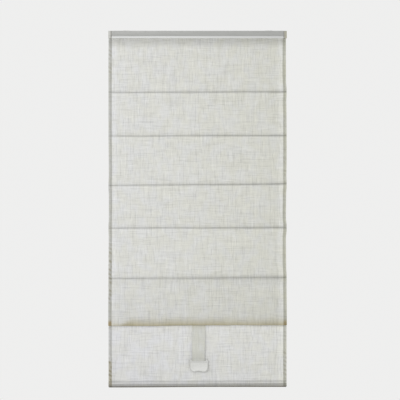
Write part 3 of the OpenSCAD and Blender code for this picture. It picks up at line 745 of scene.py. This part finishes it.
def bendLower(centre):
    x, z = centre[..., 0], centre[..., 2]
    move = np.zeros_like(centre)
    start, span = sheetSet["lowerHold"]
    hold = np.clip((ribZ[5] - start - z) / span, 0, 1) * np.clip((z - hemTop) / span, 0, 1)
    move[..., 1] = sheetSet["lowerBillow"] * hold * (1 + softWaves(x, z, panelWaves))
    # the hem hangs slack below the bar towards the left, and its ends are round
    above, radius = z - sheetSet["bottom"], sheetSet["cornerRadius"]
    under = fadeOut(above, sheetSet["barLow"] - 0.0003, sheetSet["barHigh"])
    move[..., 2] = -sheetSet["hemSlack"] * under * smoothShare(-x, *sheetSet["slackSpan"])
    past = np.clip(np.abs(x) - sheetSet["half"] + radius, 0.0, radius)
    move[..., 2] += (radius - np.sqrt(radius ** 2 - past ** 2)) * fadeOut(above, *sheetSet["cornerSpan"])
    return move


def clothGrid(slab, rows):
    # x, y and z of each point before the cloth is bent
    x = slab["cut"][:len(slab["cut"]) // 2, 0].reshape(slab["front"].shape[:2])
    y, z = (np.broadcast_to(np.array(rows)[:, k][:, None], x.shape) for k in (0, 1))
    return x, y, z


def edgeTints(x, strip=1.0):
    # painted shade of the doubled side hems, darker still where the raw edge is turned in and three layers
    # lie together, and painted light on the paler strip beside them
    reach = np.abs(x)
    hem = (reach > hemInner).astype(float)
    core = hem * (reach < hemInner + sheetSet["hemTurn"])
    tint = tinted(tinted(np.ones((*x.shape, 3)), hem, sheetSet["hemTint"]), core, sheetSet["hemCore"])
    glow = (1 - hem) * smoothShare(reach, hemInner - sheetSet["glowFrom"], hemInner - sheetSet["glowFull"])
    light = strip * (np.array(sheetSet["edgeGlow"]) - 1) + sheetSet["rightGlow"] * (x > 0)[..., None]
    tint = tint * (1 + glow[..., None] * light)
    # painted warm light: yellower towards the right, more so on the hems
    tint[..., 2] *= 1 - sheetSet["warmLightRight"] * (1 + hem) * x / sheetSet["half"]  # towards the right
    return tint, hem


def seamTints(tint, x, z, hem, toRight):
    # painted shade along the tucks of the seams, darker to the right and faint on the side hems, with a
    # painted highlight just under each seam
    full, end = sheetSet["lineSpan"]
    hide = sheetSet["seamHide"] + (sheetSet["seamHideRight"] - sheetSet["seamHide"]) * toRight
    tuck = 1 - sheetSet["seamTint"] + sheetSet["tuckMore"] * toRight
    tuck = tuck + sheetSet["tuckEnd"] * smoothShare(x, *sheetSet["tuckEndSpan"])
    tuck = tuck * (1 - hem * hide)
    for seam, wide in zip(ribZ[:5], sheetSet["seamWide"]):
        up = z - seam
        line = fadeOut(np.abs(up), full * wide, (end + sheetSet["lineMore"] * toRight) * wide)
        above = (up > 0) * fadeOut(up, *sheetSet["aboveSpan"])
        under = fadeOut(-up, *sheetSet["underSpan"]) * smoothShare(-up, *sheetSet["underRise"])
        shade = 1 - tuck * line / wide ** 0.5 + sheetSet["underGlow"] * under
        shade -= (sheetSet["aboveShade"] + sheetSet["tuckMore"] * toRight) * above
        tint = tint * shade[..., None]
    return tint


def foldTints(tint, x, y, z, hem, toRight):
    # painted shade: the loose fold is darker and warmer where several layers lie behind it, less of them
    # towards the left end, with a painted dark line along its lower edge and darker spots where it crosses
    # the side hems
    up = z - ribZ[5] + sheetSet["foldDrop"]
    edge = fadeOut(up, *sheetSet["foldLineSpan"]) * (y < sheetSet["hangY"] - 0.004)
    band = fadeOut(up, *sheetSet["foldSpan"])
    faint, (left, right) = sheetSet["foldFaint"], sheetSet["foldSides"]
    band = band * (faint + (1 - faint) * smoothShare(x - up * sheetSet["foldSlope"], *sheetSet["foldEnd"]))
    band = band * (left + (right - left) * toRight)
    band = band * (1 + sheetSet["foldUneven"] * softWaves(x * 2, z, panelWaves))
    spot = hem * fadeOut(np.abs(up - sheetSet["spotUp"]), *sheetSet["spotSpan"])
    spot = spot * (1 - sheetSet["spotRight"] * toRight)
    for share, key in ((edge, "foldLine"), (band, "foldTint"), (spot, "foldHemTint")):
        tint = tinted(tint, share, sheetSet[key])
    return tint


def markTints(slab, tint, x, z, hem):
    # stretches of each side edge where the marks of the doubled weave are strong, darker and browner where
    # they are strongest
    marks = np.full(x.shape, sheetSet["markFloor"])
    for side, middle, reach, most in sheetSet["markSpans"]:
        near = fadeOut(np.abs(z - middle), 0.5 * reach, reach)
        marks = np.maximum(marks, most * near * (side * x > 0))
    marks = marks * hem
    darkStretch = np.clip((marks - sheetSet["darkStretchFrom"]) / (1 - sheetSet["darkStretchFrom"]), 0.0, 1.0)
    return setTint(slab, tint * (1 - darkStretch[..., None] * np.array(sheetSet["markShade"])), 1 - marks)


def tintUpper(slab, rows):
    x, y, z = clothGrid(slab, rows)
    tint, hem = edgeTints(x)
    toRight = (x / sheetSet["half"] + 1) / 2
    # painted light: off the hems the cloth is lighter to the left and darker to the right
    tint = tint * (1 + sheetSet["sideLightFalloff"] * (1 - 2 * toRight) * (1 - hem))[..., None]
    tint = seamTints(tint, x, z, hem, toRight)
    below, light = sheetSet["topZ"] - z, sheetSet["headLight"]
    head = (1 + light) * smoothShare(below, *sheetSet["headRise"]) - light
    tint = tinted(tint, head * fadeOut(below, *sheetSet["headSpan"]), sheetSet["headTint"])
    # painted shade: the loose panel is a little darker, most where it sags and just under the fifth seam
    fall = ribZ[4] - z
    loose = smoothShare(fall, *sheetSet["looseRise"])
    sag = smoothShare(fall, sheetSet["sagFrom"], ribZ[4] - ribZ[5])
    sag += sheetSet["sagTop"] * (1 + toRight) * (fall > 0) * fadeOut(fall, *sheetSet["sagTopSpan"])
    tint = tint * (1 - (1 - sheetSet["looseTint"]) * loose - sheetSet["sagShade"] * sag)[..., None]
    return markTints(slab, foldTints(tint, x, y, z, hem, toRight), x, z, hem)


def tintLower(slab, rows):
    x, _, z = clothGrid(slab, rows)
    tint, hem = edgeTints(x, sheetSet["lowerStrip"])
    # painted light: the lower panel is lighter and bluer, most just under the fold where its shadow falls,
    # and darker down towards the hem
    below = ribZ[5] - sheetSet["foldDrop"] - z
    light = 1 + sheetSet["underFold"] * fadeOut(below, *sheetSet["underFoldSpan"])
    fall = sheetSet["lowerLift"] - smoothShare(below, *sheetSet["lowerFadeSpan"])
    light = light * (1 + sheetSet["lowerFade"] * fall)
    tint = tint * np.array(sheetSet["lowerTint"]) * light[..., None]
    # painted shade: doubled cloth of the bottom hem, its seam, the bar that shows through it and the wrap
    # under the bar
    above = z - sheetSet["bottom"]
    level = above - sheetSet["hemClimb"] * x / sheetSet["half"]
    doubled = (z < hemTop - 0.002).astype(float)
    fromSeam = np.abs(level - sheetSet["hemHigh"] + sheetSet["hemSeamDown"])
    seam = fadeOut(fromSeam, *sheetSet["hemSeamSpan"]) * (1 - sheetSet["hemSeamFaint"] * doubled)
    bar = fadeOut(level - sheetSet["barHigh"], *sheetSet["barSpan"])
    foot = fadeOut(above, *sheetSet["barFootSpan"])
    layers = {"hemLayerTint": doubled, "hemSeamTint": seam, "barTint": bar, "barFootTint": foot}
    for key, share in layers.items():
        tint = tinted(tint, share, sheetSet[key])
    return markTints(slab, tint, x, z, hem)


def hemStrips(rows, bend, tinter):
    # the turned-in second layer behind each side edge
    behind = np.array(rows) + behindPath(rows) * (sheetSet["thick"] + 0.00004)
    crease, hem = sheetSet["crease"], sheetSet["hem"]
    edge = hemInner + np.array([crease / 2, *sheetSet["hemColumns"], hem - 0.0003])
    slabs = [clothSlab(behind, xs, sheetSet["thick"] * 0.9, bend) for xs in (-edge[::-1], edge)]
    return joinSlabs([tinter(slab, rows) for slab in slabs])


def hemLine(slab, side):
    at = side * (hemInner + stitchLook["hemInset"])
    columns = sheetColumns()
    return np.stack([[np.interp(at, columns, row[:, k]) for k in range(3)] for row in slab["front"]])


def makeSheet():
    path, drop, columns = upperRows(), lowerRows(), sheetColumns()
    upper = tintUpper(clothSlab(path, columns, sheetSet["thick"], bendUpper), path)
    lower = tintLower(clothSlab(drop, columns, sheetSet["thick"], bendLower, upper["length"]), drop)
    upperHems = hemStrips(path, bendUpper, tintUpper)
    lowerHems = hemStrips(drop[:sheetSet["dropRows"] + 4], bendLower, tintLower)
    # stitching along the side hems, the rib seams and the bottom hem
    outward = (upper["front"] - upper["rear"])[:, 0]
    upperRuns = [stitchRun(hemLine(upper, side), outward) for side in (-1, 1)]
    upperRuns += [stitchRun(upper["front"][i * sheetSet["panelRows"]]) for i in range(1, 6)]
    lowerRuns = [stitchRun(hemLine(lower, side)[:sheetSet["dropRows"] + 2]) for side in (-1, 1)]
    lowerRuns.append(stitchRun(lower["front"][sheetSet["dropRows"]]))
    pieces = {
        "upper": addCloth("sheet_upper", upper, sheetLinen, "headrail"),
        "lower": addCloth("sheet_lower", lower, sheetLinen, "lower_panel"),
        "upperHems": addCloth("side_hems_upper", upperHems, sheetLinen, "headrail"),
        "lowerHems": addCloth("side_hems_lower", lowerHems, sheetLinen, "lower_panel"),
        "upperStitches": addStitches("sheet_stitches", upperRuns, "headrail"),
        "lowerStitches": addStitches("hem_stitches", lowerRuns, "lower_panel"),
    }
    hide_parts("fabric_sheet")
    print("stitching:", len(upperRuns) + len(lowerRuns), "runs")
    return pieces, upper["length"], lower["length"]


sheetPieces, upperLength, lowerLength = makeSheet()
print("sheet:", round(upperLength + lowerLength, 3), "m of cloth down the path")


# the head of the cloth, looped round the spline in the rail's groove
loopSet = {
    "thick": 0.0007, "clear": 0.00055, "apart": 0.00045, "neck": 0.0008, "endGap": 0.001, "columns": 60,
}


def makeHeadLoop():
    low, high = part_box("head_spline")
    y, z = middleOf("head_spline")[1:]
    radius = (high.y - low.y) / 2 + loopSet["clear"]
    half = high.x - loopSet["endGap"]
    foot, neck = sheetSet["topZ"] + 0.0003, z - radius - loopSet["neck"]
    path = [(y + loopSet["apart"], foot), (y + loopSet["apart"], neck)]
    path += arcPoints((y, z), radius, -80, 260, 30)
    path += [(y - loopSet["apart"], neck), (y - loopSet["apart"], foot)]
    slab = clothSlab(path, np.linspace(-half, half, loopSet["columns"]), loopSet["thick"])
    loop = addCloth("head_loop", slab, sheetLinen, "headrail")


makeHeadLoop()
print("head loop: in the rail's groove")

# the upper cloth, its hems and its stitches each get a mesh of their own, since they squash in height as the
# blind rises
for key in ("upper", "upperHems", "upperStitches"):
    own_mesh(sheetPieces[key])


# rod pockets: a folded tape round each rod, with two leaves sewn to the back of the cloth
tapeSet = {
    "thick": 0.0006, "radius": 0.0032, "leaf": 0.007, "leafGap": 0.0012, "neck": 0.0004, "notch": 0.006,
    "cordX": middleOf("lift_cord_right")[0],
}


def tapeRows(i, around=True):
    y, z = middleOf(f"rib_rod_{i}")[1:]
    face = sheetSet["hangY"] + sheetSet["thick"] / 2 + tapeSet["thick"] / 2 + 0.0001
    leaf = np.linspace(tapeSet["leaf"], tapeSet["leafGap"], 5)
    upper = [(face, z + d) for d in leaf]
    lower = [(face, z - d) for d in leaf[::-1]]
    if not around:
        return upper + [(face, z)] + lower
    neck = tapeSet["neck"]
    ring = arcPoints((y, z), tapeSet["radius"], 168, -168, 30)
    return upper + [(face + 0.0002, z + neck)] + ring + [(face + 0.0002, z - neck)] + lower


def makeTape(i):
    half = float(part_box(f"rod_pocket_{i}")[1].x)
    left, right = tapeSet["cordX"] - tapeSet["notch"], tapeSet["cordX"] + tapeSet["notch"]
    # the fold is cut away where the cords pass
    spans = [(-half, -right, 14, True), (-left, left, 40, True), (right, half, 14, True)]
    spans += [(-right, -left, 4, False), (left, right, 4, False)]
    slabs = [clothSlab(tapeRows(i, around), np.linspace(a, b, columns), tapeSet["thick"])
             for a, b, columns, around in spans]
    body = f"rib_{i}" if i < 6 else "lower_panel"
    tape = addCloth(f"pocket_tape_{i}", joinSlabs(slabs), tapeCloth, body)
    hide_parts(f"rod_pocket_{i}")


for i in range(1, 7):
    makeTape(i)
print("rod pockets: 6")


# lift cords: three strands twisted together, straight from spool to lowest rib
sides = ("left", "right")
cordSet = {
    "pitch": 0.005, "strands": 3, "strandSides": 5, "ringsPerTurn": 6, "strandAt": 0.46, "strandSize": 0.56,
    # turns on the spool; their pitch and step aside are in cord radii
    "turns": 6, "turnRings": 28, "turnSides": 8, "turnPitch": 2.15, "turnAside": 2.3, "turnSize": 0.96,
}


def tubeAlong(points, radius, sides):
    step = unit(np.gradient(points, axis=0))
    guide = np.array([1.0, 0.0, 0.0]) if abs(step[0][0]) < 0.9 else np.array([0.0, 1.0, 0.0])
    side = unit(np.cross(step, guide))
    other = np.cross(step, side)
    angles = np.linspace(0, 2 * math.pi, sides, endpoint=False)[None, :, None]
    rings = points[:, None] + radius * (np.cos(angles) * side[:, None] + np.sin(angles) * other[:, None])
    return rings.reshape(-1, 3), tubeFaces(len(points), sides)


def makeCord(side):
    low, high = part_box(f"lift_cord_{side}")
    x, y = middleOf(f"lift_cord_{side}")[:2]
    radius, drop, strands = (high.x - low.x) / 2, high.z - low.z, cordSet["strands"]
    z = np.linspace(low.z, high.z, int(drop / cordSet["pitch"] * cordSet["ringsPerTurn"]))
    verts, faces = [], []
    for k in range(strands):
        a = 2 * math.pi * ((z - low.z) / cordSet["pitch"] + k / strands)
        off = cordSet["strandAt"] * radius
        line = np.stack([x + off * np.cos(a), y + off * np.sin(a), z], axis=1)
        points, quads = tubeAlong(line, cordSet["strandSize"] * radius, cordSet["strandSides"])
        faces += [[v + k * len(points) for v in quad] for quad in quads]
        verts.append(points)
    cord = addPiece(f"cord_{side}", np.concatenate(verts), faces, cordBraid, "headrail", 80.0)
    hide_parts(f"lift_cord_{side}")
    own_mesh(cord)
    return drop


def makeWinding(side):
    # the turns that stay on the spool when the blind is down
    y, z = middleOf(f"spool_{side}")[1:]
    low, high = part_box(f"lift_cord_{side}")
    cordX, cordY = middleOf(f"lift_cord_{side}")[:2]
    radius, reach = (high.x - low.x) / 2, y - cordY
    a = np.linspace(0, cordSet["turns"] * 2 * math.pi, cordSet["turns"] * cordSet["turnRings"])
    out = 1 if side == "right" else -1
    # one cord's width aside from the second turn on, so that the turning spool passes the hanging cord
    aside = a / (2 * math.pi) * cordSet["turnPitch"] + cordSet["turnAside"] * smoothShare(a, 0.1, 1.2)
    x = cordX + out * aside * radius
    line = np.stack([x, y - reach * np.cos(a), z + reach * np.sin(a)], axis=1)
    verts, faces = tubeAlong(line, radius * cordSet["turnSize"], cordSet["turnSides"])
    winding = addPiece(f"cord_turns_{side}", verts, faces, cordBraid, "lift_shaft", 80.0)
    return float(arcLength(line)[-1])


hanging = [makeCord(side) for side in sides]
wound = [makeWinding(side) for side in sides]
print("lift cords:", [round(h + w, 3) for h, w in zip(hanging, wound)], "m each")


# pull strap: a doubled band that loops round the handle's bar
strapLow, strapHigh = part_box("pull_strap")
strapHalf = (strapHigh.x - strapLow.x) / 2
pivotY, pivotZ = joints["handle_swing"]["pos_m"][1:]
strapSet = {
    "thick": 0.0006, "apart": 0.00066, "loop": 0.0031, "pinch": 0.0036, "wrapTurn": 54.0,
    "taper": 0.004, "columns": 26, "legRows": 40, "wave": 0.0004,
    "tint": (0.905, 0.91, 0.90), "topTint": (1.0, 0.98, 0.90), "topSpan": (0.020, 0.050),
    "footTint": 0.900, "footSpan": (0.020, 0.055), "crossStitch": (0.008, 0.014),
}


def strapPath():
    topY, turn = sheetSet["hangY"] - sheetSet["hairpin"], strapSet["wrapTurn"]
    # both legs go from the rib down to just above the bar
    ys = np.linspace(topY, pivotY, strapSet["legRows"])
    zs = np.linspace(strapHigh.z, pivotZ + strapSet["pinch"], strapSet["legRows"])
    front, back = (list(zip(ys + side * strapSet["apart"] / 2, zs)) for side in (-1, 1))
    return front + arcPoints((pivotY, pivotZ), strapSet["loop"], 180 - turn, 360 + turn, 24) + back[::-1]


def bendStrap(centre):
    x, z = centre[..., 0], centre[..., 2]
    move = np.zeros_like(centre)
    down = np.clip((strapHigh.z - z) / (strapHigh.z - pivotZ), 0, 1)
    move[..., 0] = -strapSet["taper"] * down * np.clip(x / strapHalf, 0, 1)
    move[..., 1] = strapSet["wave"] * np.sin(np.pi * down) ** 0.5 * softWaves(x * 3, z * 6, panelWaves)
    return move


def tintStrap(slab, path):
    z = clothGrid(slab, path)[2]
    # painted shade: the doubled band is darker than the sheet, warmer at its top in the shadow of the fold
    # and darker at its foot by the handle
    tint = np.broadcast_to(np.array(strapSet["tint"]), (*z.shape, 3))
    tint = tinted(tint, fadeOut(ribZ[5] - z, *strapSet["topSpan"]), strapSet["topTint"])
    return setTint(slab, tinted(tint, fadeOut(z - pivotZ, *strapSet["footSpan"]), strapSet["footTint"]))


def makeStrap():
    path = strapPath()
    columns = np.linspace(-strapHalf, strapHalf, strapSet["columns"])
    slab = tintStrap(clothSlab(path, columns, strapSet["thick"], bendStrap), path)
    for key in ("verts", "front"):
        slab[key][..., 0] += middleOf("pull_strap")[0]
    strap = addCloth("strap", slab, strapLinen, "lower_panel")
    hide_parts("pull_strap")
    # edge stitching and two rows across above the handle
    legs = slab["front"][:strapSet["legRows"] - 2]
    runs = [stitchRun(legs[:, column]) for column in (2, strapSet["columns"] - 3)]
    for above in strapSet["crossStitch"]:
        row = int(np.argmin(np.abs(np.array(path)[:len(legs), 1] - pivotZ - above)))
        runs.append(stitchRun(legs[row, 2:-2]))
    stitches = addStitches("strap_stitches", runs, "lower_panel")
    return slab["length"]


print("strap:", round(makeStrap(), 3), "m of band")


# hard parts: a softened copy of each solid, or the solid itself with its finish
white = (whitePlastic, 0.0003, "white_plastic")
hardParts = {
    "headrail": (railMetal, 0.00025, "rail"),
    **{f"end_cap_{side}": (capPlastic, 0.0008, "cap_plastic") for side in sides},
    **{f"bracket_{side}": (bracketPaint, 0.0003, "bracket_steel") for side in sides},
    "spring_case": white, "spring_case_lid": white,
    **{f"spool_{side}": (whitePlastic, 0.0002, "white_plastic") for side in sides},
    **{f"spool_cradle_{side}": white for side in sides},
    "cord_anchors": white,
    "bottom_bar_tips": (whitePlastic, 0.0004, "white_plastic"),
    "output_drum": (darkPlastic, 0.0002, "dark_plastic"),
    "storage_drum": (darkPlastic, 0.0002, "dark_plastic"),
    "pull_handle": (gripPlastic, 0.0007, "grip"),
    **{f"cord_eyelets_{i}": white for i in range(1, 6)},
    **{f"rod_tips_{i}": white for i in range(1, 7)},
}
plainParts = {
    "head_spline": whitePlastic, "power_spring": springMetal,
    "lift_shaft": shaftMetal, "bottom_bar": barMetal,
    **{f"rib_rod_{i}": rodGlass for i in range(1, 7)},
}


def softenPart(node, finish, width):
    source = nodes[node]
    bm = bmesh.new()
    bm.from_mesh(source.data)
    bmesh.ops.remove_doubles(bm, verts=bm.verts, dist=1e-6)
    bmesh.ops.dissolve_limit(bm, angle_limit=math.radians(0.5), verts=bm.verts, edges=bm.edges)
    sharp = [e for e in bm.edges if len(e.link_faces) == 2 and e.calc_face_angle() > math.radians(30)]
    bmesh.ops.bevel(bm, geom=sharp, offset=width, segments=2, profile=0.6, affect="EDGES", clamp_overlap=True)
    bmesh.ops.triangulate(bm, faces=[f for f in bm.faces if len(f.verts) > 4])
    mesh = bpy.data.meshes.new(node + "_soft")
    bm.to_mesh(mesh)
    bm.free()
    piece = placePiece(node + "_soft", mesh, finish, source["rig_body"], 28)
    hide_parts(node)


for node, (finish, width, slot) in hardParts.items():
    softenPart(node, finish, width)
for node, finish in plainParts.items():
    mesh = nodes[node].data
    mesh.materials.clear()
    mesh.materials.append(finish)
print("hard parts:", len(hardParts), "softened,", len(plainParts), "kept")


# pale floor, soft sky, a wide key light from the left and a fill behind
stageSet = {
    "floorZ": -1.95, "floorRadius": 1.25,
    "floorColour": (0.80, 0.80, 0.79, 1), "floorCloud": (0.77, 0.77, 0.76, 1),
    "sky": 0.72, "pale": (0.86, 0.86, 0.855, 1), "aim": (0.0, 0.0, -0.7),
    "keyAt": (-0.75, -3.0, -0.30), "keySize": 3.4, "keyWatts": 40.0,
    "fillAt": (1.3, 2.9, -0.1), "fillSize": 3.0, "fillWatts": 30.0,
}


def makeFloor():
    finish, tree, skin = newFinish("paleFloor", {"Roughness": 0.7})
    where = place(tree)
    cloud = streaks(tree, where, (0.25, 0.25, 0.25))
    feed(skin["Base Color"], mixColour(tree, cloud, stageSet["floorColour"], stageSet["floorCloud"]))
    # the floor fades into the pale surround before its rim
    radius = stageSet["floorRadius"]
    flat = addNode(tree, "ShaderNodeVectorMath", {0: where, 1: (1.0, 1.0, 0.0)}, operation="MULTIPLY")
    reach = addNode(tree, "ShaderNodeVectorMath", {0: flat.outputs[0]}, operation="LENGTH").outputs["Value"]
    feed(skin["Alpha"], remap(tree, reach, radius, radius * 0.35))
    points = arcPoints((0.0, 0.0), radius, 0, 360, 96)[:-1]
    mesh = bpy.data.meshes.new("floor")
    mesh.from_pydata([(x, y, stageSet["floorZ"]) for x, y in points], [], [list(range(len(points)))])
    mesh.materials.append(finish)
    floor = bpy.data.objects.new("floor", mesh)
    scene.collection.objects.link(floor)


def makeLight():
    world = bpy.data.worlds.new("softSky")
    scene.world = world
    world.use_nodes = True
    tree = world.node_tree
    tree.nodes.clear()
    ray = addNode(tree, "ShaderNodeLightPath").outputs
    mirrored = calc(tree, "MAXIMUM", ray["Is Glossy Ray"], ray["Is Transmission Ray"])
    seen = calc(tree, "MAXIMUM", ray["Is Camera Ray"], mirrored)
    sky = addNode(tree, "ShaderNodeBackground", {"Color": (1.0, 1.0, 1.0, 1), "Strength": stageSet["sky"]})
    pale = addNode(tree, "ShaderNodeBackground", {"Color": stageSet["pale"], "Strength": 1.0})
    mix = addNode(tree, "ShaderNodeMixShader", {0: seen, 1: sky.outputs[0], 2: pale.outputs[0]})
    addNode(tree, "ShaderNodeOutputWorld", {"Surface": mix.outputs[0]})
    for name in ("key", "fill"):
        data = bpy.data.lights.new(name + "Light", "AREA")
        data.shape = "DISK"
        data.size = stageSet[name + "Size"]
        data.energy = stageSet[name + "Watts"]
        lamp = bpy.data.objects.new(name + "Light", data)
        scene.collection.objects.link(lamp)
        lamp.location = stageSet[name + "At"]
        aim = Vector(stageSet["aim"]) - lamp.location
        lamp.rotation_euler = aim.to_track_quat("-Z", "Y").to_euler()


makeFloor()
makeLight()
print("stage set")
